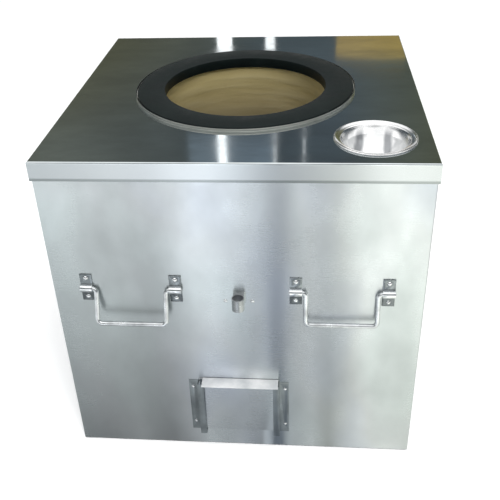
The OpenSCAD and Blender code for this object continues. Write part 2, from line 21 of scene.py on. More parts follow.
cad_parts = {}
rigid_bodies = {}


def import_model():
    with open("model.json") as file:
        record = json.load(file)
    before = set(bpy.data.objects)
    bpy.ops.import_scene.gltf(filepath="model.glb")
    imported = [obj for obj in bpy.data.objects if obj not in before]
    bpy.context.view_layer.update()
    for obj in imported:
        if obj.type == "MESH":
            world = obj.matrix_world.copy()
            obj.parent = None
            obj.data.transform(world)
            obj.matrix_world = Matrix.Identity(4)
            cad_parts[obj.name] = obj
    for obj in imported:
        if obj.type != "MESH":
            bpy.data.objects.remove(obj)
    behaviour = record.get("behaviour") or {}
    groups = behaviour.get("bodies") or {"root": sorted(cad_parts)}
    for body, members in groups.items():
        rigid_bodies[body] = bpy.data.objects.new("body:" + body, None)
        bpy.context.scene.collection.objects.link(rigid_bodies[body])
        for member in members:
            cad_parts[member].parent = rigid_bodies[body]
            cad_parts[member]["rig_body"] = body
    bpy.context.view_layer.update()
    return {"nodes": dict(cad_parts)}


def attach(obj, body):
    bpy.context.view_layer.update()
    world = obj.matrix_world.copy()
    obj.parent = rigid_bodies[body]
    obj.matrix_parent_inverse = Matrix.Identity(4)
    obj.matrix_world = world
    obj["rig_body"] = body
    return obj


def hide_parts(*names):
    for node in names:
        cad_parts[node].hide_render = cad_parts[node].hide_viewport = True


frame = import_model()
cad = frame["nodes"]
print("pieces in the construction model:", len(cad))

# %% [markdown]
# ## The camera
#
# The oven is seen from a little to the right and from well above its deck, looking down about
# thirty degrees. Such a view is best written as where the camera stands and where its three
# axes point, because that can be solved from the corners of the square deck. The lens is given
# as a focal length in pixels of a 500 pixel picture, and Blender wants it in millimetres on a
# 36 mm sensor. The picture was cropped off centre, which is what the small shift is for.

# %% Camera
PICTURE = 500
SENSOR = 36
FOCAL_PIXELS = 729.7
PICTURE_CENTRE = (240.9, 226.8)
STAND = Vector((0.14156, -1.56241, 1.32289))
RIGHT = Vector((0.99591, 0.08280, -0.03611))
DOWN = Vector((0.01254, -0.52256, -0.85251))

camera = bpy.data.objects.new("camera", bpy.data.cameras.new("camera"))
bpy.context.scene.collection.objects.link(camera)
ahead = RIGHT.cross(DOWN)
camera.matrix_world = Matrix((
    (RIGHT.x, -DOWN.x, -ahead.x, STAND.x),
    (RIGHT.y, -DOWN.y, -ahead.y, STAND.y),
    (RIGHT.z, -DOWN.z, -ahead.z, STAND.z),
    (0, 0, 0, 1),
))
camera.data.sensor_width = SENSOR
camera.data.lens = FOCAL_PIXELS / PICTURE * SENSOR
camera.data.shift_x = 0.5 - PICTURE_CENTRE[0] / PICTURE
camera.data.shift_y = PICTURE_CENTRE[1] / PICTURE - 0.5
bpy.context.scene.camera = camera
bpy.context.scene.view_settings.view_transform = "Standard"
print("lens", round(camera.data.lens, 2), "mm")

# %% [markdown]
# ## A small kit for finishes
#
# Every finish below is a node tree, and most trees are a few of the same steps: take the place
# on the object, stretch it, feed it to a noise, and let that noise change the colour or lift the
# surface. Short helpers keep each tree readable. Values that are the same all over a surface go
# on the shader's own sockets.

# %% Helpers for finishes
def start_finish(name, colour, metal, rough):
    """A material with a plain colour, and the shader that the next steps work on."""
    made = bpy.data.materials.new(name)
    made.use_nodes = True
    shader = made.node_tree.nodes["Principled BSDF"]
    shader.inputs["Base Color"].default_value = (*colour, 1)
    shader.inputs["Metallic"].default_value = metal
    shader.inputs["Roughness"].default_value = rough
    return made, shader


def add_node(made, kind, inputs=None, **settings):
    """One node. Its inputs are values, or sockets of other nodes."""
    new = made.node_tree.nodes.new(kind)
    for key, value in settings.items():
        setattr(new, key, value)
    for key, value in (inputs or {}).items():
        if isinstance(value, bpy.types.NodeSocket):
            made.node_tree.links.new(value, new.inputs[key])
        else:
            new.inputs[key].default_value = value
    return new


def place_on(made, stretch=(1, 1, 1), shift=(0, 0, 0)):
    """The place on the object in metres, stretched and shifted."""
    where = add_node(made, "ShaderNodeTexCoord")
    mapped = add_node(made, "ShaderNodeMapping", {
        "Vector": where.outputs["Object"], "Scale": stretch, "Location": shift})
    return mapped.outputs["Vector"]


def parts_of(made, vector):
    """The X, Y and Z of a vector."""
    return add_node(made, "ShaderNodeSeparateXYZ", {"Vector": vector}).outputs


def length_of(made, vector):
    """How long a vector is."""
    return add_node(made, "ShaderNodeVectorMath", {0: vector}, operation="LENGTH").outputs["Value"]


def height_on(made):
    """The height above the floor, in metres."""
    return parts_of(made, place_on(made))["Z"]


def clouds(made, place, scale, detail=3.0, roughness=0.5):
    """Soft noise between 0 and 1."""
    return add_node(made, "ShaderNodeTexNoise", {
        "Vector": place, "Scale": scale, "Detail": detail, "Roughness": roughness,
    }).outputs["Fac"]


def span(made, value, low, high, to_low, to_high):
    """Maps what lies between low and high to between to_low and to_high."""
    return add_node(made, "ShaderNodeMapRange", {
        "Value": value, "From Min": low, "From Max": high, "To Min": to_low, "To Max": to_high,
    }).outputs["Result"]


def shades(made, value, stops):
    """A colour for each value, from a few stops."""
    ramp = add_node(made, "ShaderNodeValToRGB", {"Fac": value})
    steps = ramp.color_ramp.elements
    while len(steps) < len(stops):
        steps.new(1.0)
    for step, (at, colour) in zip(steps, stops):
        step.position = at
        step.color = (*colour, 1)
    return ramp.outputs["Color"]


def blend_colours(made, share, first, second, how="MIX"):
    """Two colours mixed by a share between 0 and 1."""
    mix = add_node(made, "ShaderNodeMix", data_type="RGBA", blend_type=how)
    for key, value in ((0, share), (6, first), (7, second)):
        if isinstance(value, bpy.types.NodeSocket):
            made.node_tree.links.new(value, mix.inputs[key])
        else:
            mix.inputs[key].default_value = value
    return mix.outputs[2]


def blend_values(made, share, first, second):
    """Two values mixed by a share between 0 and 1."""
    return add_node(made, "ShaderNodeMix", {0: share, 2: first, 3: second}).outputs[0]


def reckon(made, how, first, second=0.0):
    """One step of arithmetic. Some steps, such as ABSOLUTE, use the first value alone."""
    return add_node(made, "ShaderNodeMath", {0: first, 1: second}, operation=how).outputs[0]


def plus(made, first, second):
    """The sum of two values."""
    return reckon(made, "ADD", first, second)


def times(made, first, second):
    """The product of two values."""
    return reckon(made, "MULTIPLY", first, second)


def link_to(made, socket, shader, name):
    """Feeds one of the shader's inputs."""
    made.node_tree.links.new(socket, shader.inputs[name])


def lift(made, shader, height, distance, strength=1.0):
    """Bends the shading as if the surface rose by height times distance."""
    bump = add_node(made, "ShaderNodeBump", {
        "Height": height, "Distance": distance, "Strength": strength})
    link_to(made, bump.outputs["Normal"], shader, "Normal")


def scaled(colour, by):
    """A colour made brighter or darker."""
    return tuple(min(1.0, part * by) for part in colour)

# %% [markdown]
# ## Stainless steel sheet
#
# The body is satin stainless steel. It is close to a mirror for what touches it, such as a
# handle or a rail, but goes soft for what is further away, because the rollers left fine
# level lines that smear a reflection up and down. Large upright clouds of slightly duller and
# brighter metal are partly marks of hands and cloths and partly painted reflection bands. The
# smear could be painted, but then it would not follow the light, so the shader's own anisotropy
# does it and only the clouds are noise.

# %% Satin sheet
SHEET = (0.60, 0.625, 0.635)
SMEAR = 0.9


def sheet_steel(name, rough, cloud_shift, uneven):
    made, shader = start_finish(name, SHEET, 1.0, rough)
    shader.inputs["Anisotropic"].default_value = SMEAR
    shader.inputs["Anisotropic Rotation"].default_value = 0.25
    # the upright clouds are partly handling marks and partly painted reflection bands
    upright = place_on(made, stretch=(5.0, 5.0, 0.8), shift=cloud_shift)
    cloud = clouds(made, upright, 1.0, detail=2.5)
    mottle = clouds(made, place_on(made, stretch=(1, 1, 0.7), shift=cloud_shift), 13.0, detail=4.0)
    tone = plus(made, times(made, cloud, 0.7), times(made, mottle, 0.3))
    plain = shades(made, tone, [
        (0.36, scaled(SHEET, 1 - uneven)), (0.50, SHEET), (0.64, scaled(SHEET, 1 + uneven))])
    drift = place_on(made, stretch=(3.1, 3.1, 1.4), shift=(7.0, 0.0, 3.0))
    hue = clouds(made, drift, 1.6, detail=2.0)
    tint = shades(made, hue, [
        (0.36, (0.97, 1.0, 0.985)), (0.50, (1.0, 1.0, 1.0)), (0.64, (0.97, 0.985, 1.045))])
    link_to(made, blend_colours(made, 1.0, plain, tint, "MULTIPLY"), shader, "Base Color")
    roller_lines = clouds(made, place_on(made, stretch=(6, 6, 260)), 4.0)
    rubbed = plus(made, span(made, tone, 0.35, 0.65, rough * 1.2, rough * 0.85),
                  span(made, roller_lines, 0.3, 0.7, -0.012, 0.012))
    link_to(made, rubbed, shader, "Roughness")
    waves = clouds(made, place_on(made, stretch=(1, 1, 0.6), shift=cloud_shift), 5.0, detail=1.0)
    lift(made, shader, waves, 0.0010)
    return made


front_sheet = sheet_steel("satin sheet front", 0.28, (0.3, 0.0, 0.2), 0.17)
side_sheet = sheet_steel("satin sheet sides", 0.30, (4.1, 2.3, 1.0), 0.08)
print("finishes so far:", front_sheet.name, "and", side_sheet.name)

# %% [markdown]
# ## The polished deck
#
# The deck is the same steel, polished further. It mirrors the room, so in a dim room it looks
# dark, with hard bright windows in it. A polisher's wheel leaves the sheet very slightly wavy,
# which is what bends those windows. The skirt round its edge is left duller than the top and is
# painted a darker shade, and a painted shadow line runs along its foot.

# %% Polished deck
DECK = (0.60, 0.64, 0.65)
# the skirt's colour is a painted shade, darker than the top of the same sheet
SKIRT = (0.46, 0.475, 0.485)
SKIRT_ROUGH = 0.26
# the colour of the painted shadow line along the foot of the skirt
HEM_SHADOW = (0.27, 0.29, 0.29)
SKIRT_FOOT = 0.692
SKIRT_HEAD = 0.729


def polished_steel(name, rough, wave_height):
    made, shader = start_finish(name, DECK, 1.0, rough)
    smears = clouds(made, place_on(made, stretch=(1, 2.2, 1)), 6.0, detail=5.0, roughness=0.6)
    sheen = shades(made, smears, [(0.35, scaled(DECK, 0.88)), (0.65, scaled(DECK, 1.10))])
    # a painted shadow: a dark line is painted along the foot of the skirt
    high = height_on(made)
    hem_shadow = span(made, high, SKIRT_FOOT + 0.0040, SKIRT_FOOT + 0.0070, 1.0, 0.0)
    # the skirt is rougher than the top, and painted a darker shade
    skirt = span(made, high, SKIRT_HEAD, SKIRT_HEAD - 0.001, 0.0, 0.85)
    sheen = blend_colours(made, skirt, sheen, (*SKIRT, 1))
    link_to(made, blend_colours(made, hem_shadow, sheen, (*HEM_SHADOW, 1)), shader, "Base Color")
    rubbed = span(made, smears, 0.35, 0.65, rough * 1.4, rough * 0.8)
    link_to(made, blend_values(made, skirt, rubbed, SKIRT_ROUGH), shader, "Roughness")
    waves = clouds(made, place_on(made), 3.5, detail=1.0)
    lift(made, shader, waves, wave_height)
    return made


deck_sheet = polished_steel("polished deck sheet", 0.075, 0.0006)
print("the skirt is flat over", round((SKIRT_HEAD - SKIRT_FOOT) * 1000), "mm")

# %% [markdown]
# ## The smaller steel parts
#
# Round bar, folded rails, pressed saddles and turned fasteners are all steel as well, but each
# was made another way: drawn bar is bright with marks along it, the saddles and rails are a
# duller grey, and the domed heads are almost white where they catch the light.

# %% Small steel parts
def worked_steel(name, colour, rough, grain=40.0, marks=0.00004, metal=1.0):
    made, shader = start_finish(name, colour, metal, rough)
    stain = clouds(made, place_on(made), grain, detail=4.0)
    link_to(made, shades(made, stain, [
        (0.3, scaled(colour, 0.75)), (0.7, scaled(colour, 1.2))]), shader, "Base Color")
    link_to(made, span(made, stain, 0.3, 0.7, rough * 1.3, rough * 0.75), shader, "Roughness")
    lift(made, shader, clouds(made, place_on(made), grain * 12, detail=2.0), marks)
    return made


bar_steel = worked_steel("drawn bar", (0.72, 0.74, 0.75), 0.30)
saddle_steel = worked_steel("pressed saddle", (0.22, 0.24, 0.25), 0.26, grain=70.0)
rail_steel = worked_steel("folded rail", (0.31, 0.34, 0.35), 0.36, grain=25.0)
tube_steel = worked_steel("cut tube", (0.54, 0.56, 0.57), 0.24)
# the door flange's near white is a painted highlight, on a rougher, less metallic finish
pull_steel = worked_steel("door flange with painted highlight", (0.86, 0.89, 0.91), 0.62, grain=20.0, metal=0.4)
head_steel = worked_steel("domed heads", (0.82, 0.83, 0.84), 0.16, grain=90.0)
band_steel = worked_steel("turned band", (0.74, 0.74, 0.68), 0.36, grain=14.0)
bowl_steel = worked_steel("spun bowl", (0.86, 0.87, 0.87), 0.15, grain=16.0, marks=0.00001)
duct_steel = worked_steel("duct sheet", (0.33, 0.32, 0.31), 0.45, grain=18.0)
print("finishes so far:", len(bpy.data.materials))

# %% [markdown]
# ## Marks on the small steel parts
#
# Use leaves marks where the maker put none, and some light and shade is painted on as well. The
# bowl is dented, and its grey streaks are painted reflections; the band's top edge at the ring is
# darker; a saddle's arch carries a painted highlight; and the socket's bore and top edge are
# painted in shade. Each mark is a change of colour and roughness that fades in with something
# measured on the object, such as a height or the distance from an axis, so that it keeps its
# place from every side.

# %% Marks
BOWL_AXIS = (0.271, -0.271)
BOWL_HOLLOW, BOWL_BEND = 0.058, 0.066
STREAKS_APART = 0.057
BAND_DARK_FOOT, BAND_DARK_TOP = 0.7381, 0.7386
ARCH_FOOT, ARCH_TOP = 0.3809, 0.3820
SOCKET_AXIS = (0.006, -0.393)
BORE, BORE_EDGE = 0.0112, 0.0118
SOCKET_TOP = 0.4356


def change_where(made, value, low, high, colour, rough):
    """Fades a finish to another colour and roughness as a value goes from low to high."""
    shader = made.node_tree.nodes["Principled BSDF"]
    share = span(made, value, low, high, 0.0, 1.0)
    before = shader.inputs["Base Color"].links[0].from_socket
    link_to(made, blend_colours(made, share, before, (*colour, 1)), shader, "Base Color")
    before = shader.inputs["Roughness"].links[0].from_socket
    link_to(made, blend_values(made, share, before, rough), shader, "Roughness")


def spot_round(made, axis):
    """The place as seen from an upright axis, without its height."""
    return place_on(made, stretch=(1, 1, 0), shift=(-axis[0], -axis[1], 0))


# inside its flat lip the bowl is dented and dulled to a near white, with grey painted reflections
# streaked across it
bowl_shader = bowl_steel.node_tree.nodes["Principled BSDF"]
bowl_spot = spot_round(bowl_steel, BOWL_AXIS)
hollow = span(bowl_steel, length_of(bowl_steel, bowl_spot), BOWL_HOLLOW, BOWL_BEND, 1.0, 0.0)
dents = clouds(bowl_steel, place_on(bowl_steel), 26.0, detail=1.0)
lift(bowl_steel, bowl_shader, times(bowl_steel, dents, hollow), 0.008)
link_to(bowl_steel, span(bowl_steel, hollow, 0.0, 1.0, 1.0, 0.35), bowl_shader, "Metallic")
across = parts_of(bowl_steel, bowl_spot)
leaning = plus(bowl_steel, across["X"], times(bowl_steel, across["Y"], -0.17))
leaning = plus(bowl_steel, leaning, times(bowl_steel, dents, 0.012))
waving = reckon(bowl_steel, "COSINE", times(bowl_steel, leaning, math.tau / STREAKS_APART))
reflection_streak = span(bowl_steel, waving, -0.50, -0.90, 0.0, 0.90)
change_where(bowl_steel, times(bowl_steel, reflection_streak, hollow), 0.0, 1.0, (0.22, 0.23, 0.24), 0.25)

# the band is darker along its top edge, next to the ring
change_where(band_steel, height_on(band_steel), BAND_DARK_FOOT, BAND_DARK_TOP, (0.06, 0.07, 0.07), 0.5)

# a painted highlight: a saddle's arch is painted bright and made smoother where it stands more
# than 4 mm out of the panel
proud = reckon(saddle_steel, "ABSOLUTE", parts_of(saddle_steel, place_on(saddle_steel))["Y"])
change_where(saddle_steel, proud, ARCH_FOOT, ARCH_TOP, (0.80, 0.82, 0.83), 0.16)

# painted shade: the socket's bore and top edge are painted darker and rougher, as the shade in its
# mouth
bore = length_of(tube_steel, spot_round(tube_steel, SOCKET_AXIS))
change_where(tube_steel, bore, BORE_EDGE, BORE, (0.40, 0.41, 0.43), 0.6)
change_where(tube_steel, height_on(tube_steel), SOCKET_TOP, SOCKET_TOP + 0.0003,
             (0.48, 0.49, 0.50), 0.5)
print("the bowl's streaks are", round(STREAKS_APART * 1000), "mm apart")

# %% [markdown]
# ## Black cast iron
#
# The ring round the mouth and the loose fire grate are cast. Sand leaves a fine grain in the
# skin, and years of oil and heat turn it near black with a low sheen. Only the grate, which
# lies in the fire, shows rusty scale.

# %% Cast iron
def cast_iron(name, colour, rust, rough):
    made, shader = start_finish(name, colour, 0.0, rough)
    shader.inputs["Specular IOR Level"].default_value = 0.13
    blotches = clouds(made, place_on(made), 22.0, detail=6.0, roughness=0.65)
    link_to(made, shades(made, blotches, [
        (0.35, scaled(colour, 0.7)), (0.55, colour), (0.72, rust)]), shader, "Base Color")
    link_to(made, span(made, blotches, 0.3, 0.7, rough * 0.85, rough * 1.3), shader, "Roughness")
    sand = clouds(made, place_on(made), 420.0, detail=3.0)
    lift(made, shader, sand, 0.0003, 0.6)
    return made


ring_iron = cast_iron("cast mouth ring", (0.005, 0.009, 0.009), (0.012, 0.017, 0.016), 0.46)
grate_iron = cast_iron("scaled grate", (0.035, 0.032, 0.030), (0.16, 0.07, 0.03), 0.75)
frame_paint = cast_iron("painted angle", (0.020, 0.020, 0.022), (0.05, 0.045, 0.04), 0.45)
print("finishes so far:", len(bpy.data.materials))

# %% [markdown]
# ## Clay, mortar, brick and wool
#
# The pot is built up from rolls of wet clay and rubbed smooth by a hand that walks round it, so
# its wall keeps level rub marks. They are waves in height, stretched a long way round the wall
# and short up it. Mortar is troweled and grainy, the fire brick is pale with dark specks, and
# the wool is a mat of short fibres.

# %% Clay and mortar
DEEP_SHADE_TOP = 0.680
DEEP_SHADE_FULL = 0.525


def fired_clay(name, dark, middle, light):
    made, shader = start_finish(name, middle, 0.0, 0.88)
    rubs = clouds(made, place_on(made, stretch=(1.6, 1.6, 10.0)), 3.0, detail=4.0, roughness=0.55)
    fine = clouds(made, place_on(made), 240.0, detail=3.0)
    tone = plus(made, times(made, rubs, 0.85), times(made, fine, 0.15))
    plain = shades(made, tone, [(0.32, dark), (0.50, middle), (0.70, light)])
    # painted shade: the wall is painted greyer further down, deeper in the pot
    deep_shade = span(made, height_on(made), DEEP_SHADE_TOP, DEEP_SHADE_FULL, 0.0, 0.92)
    link_to(made, blend_colours(made, deep_shade, plain, (0.20, 0.17, 0.13, 1)), shader, "Base Color")
    height = plus(made, rubs, times(made, fine, 0.12))
    lift(made, shader, height, 0.003, 0.8)
    return made


def gritty(name, dark, light, grit, depth):
    made, shader = start_finish(name, light, 0.0, 0.95)
    coarse = clouds(made, place_on(made), grit * 0.15, detail=5.0, roughness=0.6)
    fine = clouds(made, place_on(made), grit, detail=3.0)
    tone = plus(made, times(made, coarse, 0.6), times(made, fine, 0.4))
    link_to(made, shades(made, tone, [(0.38, dark), (0.60, light)]), shader, "Base Color")
    lift(made, shader, tone, depth)
    return made


pot_clay = fired_clay("rubbed clay", (0.75, 0.62, 0.29), (0.83, 0.70, 0.35), (0.90, 0.78, 0.44))
collar_mortar = gritty("troweled mortar", (0.36, 0.30, 0.22), (0.58, 0.50, 0.38), 260.0, 0.0012)
pale_brick = gritty("fire brick", (0.48, 0.34, 0.18), (0.74, 0.60, 0.40), 340.0, 0.0008)
packed_wool = gritty("packed wool", (0.50, 0.44, 0.24), (0.80, 0.74, 0.50), 180.0, 0.004)
print("materials:", len(bpy.data.materials))

# %% [markdown]
# ## A small kit for shapes
#
# Some pieces look better than a construction solid can: a rim that was rolled, a pot that a
# hand rubbed, an edge that a file took off. Those are modelled again here, in the very same
# place. Each starts as a line of points that is spun round, or as a clean copy of the solid, and
# then gets its edges rounded. The last helper gives the shape its object, its finish and the
# body it moves with, and hides the solid that it stands for.

# %% Helpers for shapes
def line_to(shape, start, point):
    """Carries a line on to a point, and gives its new end."""
    end = shape.verts.new(point)
    shape.edges.new((start, end))
    return end


def arc_to(shape, start, centre, turn, steps):
    """Carries a line on round a centre, in the upright plane through X."""
    made = bmesh.ops.spin(shape, geom=[start], cent=centre, axis=(0, 1, 0),
                          angle=math.radians(turn), steps=steps)
    return [part for part in made["geom_last"] if isinstance(part, bmesh.types.BMVert)][0]


def spin_round(shape, steps):
    """Turns the line once about the upright axis and makes it one closed skin."""
    bmesh.ops.spin(shape, geom=shape.verts[:] + shape.edges[:], cent=(0, 0, 0), axis=(0, 0, 1),
                   angle=math.tau, steps=steps, use_merge=True)
    bmesh.ops.remove_doubles(shape, verts=shape.verts, dist=1e-6)
    bmesh.ops.recalc_face_normals(shape, faces=shape.faces)


def spun(points, steps):
    """A closed outline of (radius, height) points, spun round."""
    shape = bmesh.new()
    corners = [shape.verts.new((radius, 0, height)) for radius, height in points]
    for one, other in zip(corners, corners[1:] + corners[:1]):
        shape.edges.new((one, other))
    spin_round(shape, steps)
    return shape


def round_edges(shape, radius, steps=2):
    """Rounds every edge where the surface turns by more than 50 degrees."""
    sharp = [edge for edge in shape.edges
             if edge.is_manifold and edge.calc_face_angle(0) > math.radians(50)]
    bmesh.ops.bevel(shape, geom=sharp, offset=radius, offset_type="OFFSET", segments=steps,
                    profile=0.5, affect="EDGES", material=-1, clamp_overlap=True)


def copy_of(name):
    """A clean copy of a solid: its loose triangles are merged, and a flat side is one face."""
    shape = bmesh.new()
    shape.from_mesh(cad[name].data)
    bmesh.ops.remove_doubles(shape, verts=shape.verts, dist=1e-5)
    bmesh.ops.dissolve_limit(shape, angle_limit=math.radians(1), verts=shape.verts,
                             edges=shape.edges)
    return shape


# Each solid's body comes from the record, and the table below lists the record's name for each
# solid's stuff.
CORNERS = ["front_left", "front_right", "rear_left", "rear_right"]
SADDLES = ["saddles_" + corner for corner in CORNERS]
RAILS = ["door_rail_left", "door_rail_right"]
BRICKS = ["fire_bricks", "grate_stubs"]
SLOT_OF = {
    "mouth_ring": "black_iron", "mouth_trim": "trim_steel", "water_bowl": "bowl_steel",
    "clay_pot": "fired_clay", "wool_packing": "mineral_wool", "mortar_collar": "fire_mortar",
    "air_door": "door_steel", "fire_grate": "grate_iron",
    **dict.fromkeys(SADDLES, "saddle_steel"), **dict.fromkeys(RAILS, "rail_steel"),
    **dict.fromkeys(BRICKS, "fire_brick"),
}


def add_piece(name, shape, finish, solid, sharp=35):
    """Gives a shape its object. It rides on the body of the solid that it stands for."""
    mesh = bpy.data.meshes.new(name)
    shape.to_mesh(mesh)
    shape.free()
    for layer in [part for part in mesh.attributes if part.name == "custom_normal"]:
        mesh.attributes.remove(layer)
    mesh.shade_smooth()
    mesh.set_sharp_from_angle(angle=math.radians(sharp))
    mesh.materials.append(finish)
    piece = bpy.data.objects.new(name, mesh)
    bpy.context.scene.collection.objects.link(piece)
    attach(piece, cad[solid]["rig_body"])
    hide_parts(solid)
    print(name, "has", len(mesh.polygons), "faces")
    return piece

# %% [markdown]
# ## The black ring and its band
#
# The ring is cast iron, turned on a lathe where it shows: a flat flange on the deck and a collar
# down the hole, with its corners taken off by a tool. Lathe work is a profile that is spun, so
# that is how it is modelled: six corners, one spin, and a bevel along the circles. The band under
# its edge is thin steel, spun the same way with a smaller rounding.

# %% Mouth ring and band
DECK_TOP = 0.732
MOUTH = 0.180
RIM = 0.716
COLLAR = MOUTH + 0.010
BAND_WALL = 0.0015
RING_FOOT = DECK_TOP + BAND_WALL
RING_TOP = RING_FOOT + 0.006
RING_EDGE = MOUTH + 0.061

shape = spun([(MOUTH, RIM), (COLLAR, RIM), (COLLAR, RING_FOOT), (RING_EDGE, RING_FOOT),
              (RING_EDGE, RING_TOP), (MOUTH, RING_TOP)], steps=160)
round_edges(shape, 0.0014, steps=3)
add_piece("turned_ring", shape, ring_iron, "mouth_ring")

BAND = RING_EDGE + 0.004
BAND_INSIDE = BAND - BAND_WALL
BAND_FOOT = BAND - 0.019
BAND_TOP = RING_TOP - 0.0006
shape = spun([(BAND_FOOT, DECK_TOP), (BAND, DECK_TOP), (BAND, BAND_TOP), (BAND_INSIDE, BAND_TOP),
              (BAND_INSIDE, RING_FOOT), (BAND_FOOT, RING_FOOT)], steps=160)
round_edges(shape, 0.0005)
add_piece("ring_band", shape, band_steel, "mouth_trim")

# %% [markdown]
# ## The water bowl
#
# The bowl was pressed from one round of bright steel, and its lip was rolled over so that it
# doesn't cut a hand. Its outline is a line that follows the outside of the bowl, goes out along
# the lip, round the roll and back down the inside. Arcs of the line come from spinning its last
# point, and the whole line is then spun round the bowl's own axis.

# %% Water bowl
BOWL_PLACE = Vector((*BOWL_AXIS, DECK_TOP))
BOWL = 0.068
BOWL_DEEP = 0.048
LIP = 0.0106
ROLL = 0.0014
WALL = 0.0012

bowl_ball = (BOWL ** 2 + BOWL_DEEP ** 2) / (2 * BOWL_DEEP)
middle = (0, 0, bowl_ball - BOWL_DEEP)
inner_turn = math.degrees(math.acos(middle[2] / (bowl_ball - WALL)))
shape = bmesh.new()
tip = arc_to(shape, shape.verts.new((0, 0, -BOWL_DEEP)), middle,
             -math.degrees(math.asin(BOWL / bowl_ball)), 24)
tip = line_to(shape, tip, (BOWL + LIP, 0, 0))
tip = arc_to(shape, tip, (BOWL + LIP, 0, ROLL), -250, 14)
tip = line_to(shape, tip, (BOWL + 0.0020, 0, WALL))
tip = line_to(shape, tip, (BOWL + 0.0002, 0, WALL * 0.6))
tip = line_to(shape, tip, ((bowl_ball - WALL) * math.sin(math.radians(inner_turn)), 0, 0))
arc_to(shape, tip, middle, inner_turn, 24)
spin_round(shape, 128)
bmesh.ops.translate(shape, vec=BOWL_PLACE, verts=shape.verts)
add_piece("spun_bowl", shape, bowl_steel, "water_bowl", sharp=60)

# %% [markdown]
# ## The clay pot
#
# The pot is built by hand from rolls of clay, rubbed with a wet hand from inside, dried and
# fired in its place. It is a body of revolution, but not a perfect one: the rubbing leaves low
# level waves, and the rim wanders by a millimetre or two. The wall is spun, its rim is rounded,
# and then every point of the inner wall is pushed a little into the clay by slow noise, so the
# pot never grows beyond its solid. The air port is cut in by slicing the wall along the port's
# four sides, taking out the faces between, and bridging the two holes.

# %% Clay pot
POT_FOOT = 0.067
POT_WALL = 0.035
POT_FOOT_RADIUS = 0.205
POT_TAPER = 0.021
POT_BELLY = 0.060
PORT = {"middle": -0.003, "half": 0.064, "low": 0.0685, "high": 0.1685}


def pot_radius(height):
    share = (height - POT_FOOT) / (RIM - POT_FOOT)
    return POT_FOOT_RADIUS - POT_TAPER * share + POT_BELLY * math.sin(math.pi * share)


levels = [POT_FOOT + (RIM - POT_FOOT) * step / 64 for step in range(65)]
shape = spun([(pot_radius(height), height) for height in levels]
             + [(pot_radius(height) + POT_WALL, height) for height in reversed(levels)], steps=144)
round_edges(shape, 0.007, steps=3)


def slice_wall(shape, point, direction):
    """Cuts the faces near the front of the pot along one side of the port."""
    near = [face for face in shape.faces if face.calc_center_median().y < -0.1
            and face.calc_center_median().z < 0.25]
    parts = {part for face in near for part in (*face.verts, *face.edges, face)}
    bmesh.ops.bisect_plane(shape, geom=list(parts), dist=1e-6, plane_co=point, plane_no=direction)


for side in (-PORT["half"], PORT["half"]):
    slice_wall(shape, (PORT["middle"] + side, 0, 0), (1, 0, 0))
for height in (PORT["low"], PORT["high"]):
    slice_wall(shape, (0, 0, height), (0, 0, 1))


def in_port(face):
    centre = face.calc_center_median()
    return (centre.y < 0 and abs(centre.x - PORT["middle"]) < PORT["half"]
            and PORT["low"] < centre.z < PORT["high"])


bmesh.ops.delete(shape, geom=[face for face in shape.faces if in_port(face)], context="FACES")
bmesh.ops.bridge_loops(shape, edges=[edge for edge in shape.edges if edge.is_boundary])
bmesh.ops.recalc_face_normals(shape, faces=shape.faces)
print("open edges left in the pot:", sum(edge.is_boundary for edge in shape.edges))

for point in shape.verts:
    across = math.hypot(point.co.x, point.co.y)
    if across < pot_radius(point.co.z) + 0.4 * POT_WALL:
        round_x, round_y = point.co.x / across, point.co.y / across
        wave = noise.noise(Vector((round_x * 1.6, round_y * 1.6, point.co.z * 16)))
        dent = noise.noise(Vector((round_x * 4, round_y * 4, point.co.z * 9 + 7)))
        push = 0.0012 + 0.0016 * wave + 0.0010 * dent
        point.co += Vector((round_x, round_y, 0)) * max(0.0, push)
add_piece("rubbed_pot", shape, pot_clay, "clay_pot", sharp=80)

# %% [markdown]
# ## Wool and mortar
#
# Mineral wool is stuffed into the box by hand and mortar is troweled over it, so neither has a
# true edge. Both start as a copy of their solid. A voxel remesh gives it an even skin of small
# squares, and slow noise works that skin inwards, never outwards, so the packing stays clear of
# the sheets and the pot beside it.

# %% Wool packing and mortar collar
def packed(name, voxel, shallow, deep, lumps):
    """A copy of a solid with an uneven skin that lies between shallow and deep inside it."""
    block = bpy.data.meshes.new(name + "_block")
    shape = copy_of(name)
    shape.to_mesh(block)
    shape.free()
    holder = bpy.data.objects.new(name + "_block", block)
    bpy.context.scene.collection.objects.link(holder)
    skin = holder.modifiers.new("skin", "REMESH")
    skin.mode = "VOXEL"
    skin.voxel_size = voxel
    view = bpy.context.evaluated_depsgraph_get()
    shape = bmesh.new()
    shape.from_mesh(holder.evaluated_get(view).to_mesh())
    bpy.data.objects.remove(holder)
    bpy.data.meshes.remove(block)
    for repeat in range(2):
        bmesh.ops.smooth_vert(shape, verts=shape.verts, factor=0.5, use_axis_x=True,
                              use_axis_y=True, use_axis_z=True)
    shape.normal_update()
    moves = [(point, point.normal * (shallow + (deep - shallow) * (
        0.5 + 0.5 * noise.noise(point.co * lumps)))) for point in shape.verts]
    for point, move in moves:
        point.co -= move
    return shape


add_piece("packed_wool", packed("wool_packing", 0.009, 0.0010, 0.0065, 34),
          packed_wool, "wool_packing", sharp=180)
add_piece("troweled_mortar", packed("mortar_collar", 0.005, 0.0004, 0.0030, 26),
          collar_mortar, "mortar_collar", sharp=180)

# %% [markdown]
# ## Pieces with filed and worn edges
#
# Nothing that is cut from steel, cast or burnt as brick keeps a knife edge: a file, a sand mould
# or wear rounds it, and that rounding is what catches the light. These pieces keep the shape of
# their solid, so each is a clean copy with its sharp edges rounded by the right amount: half a
# millimetre on sheet, more than a millimetre on iron, two or three on brick.

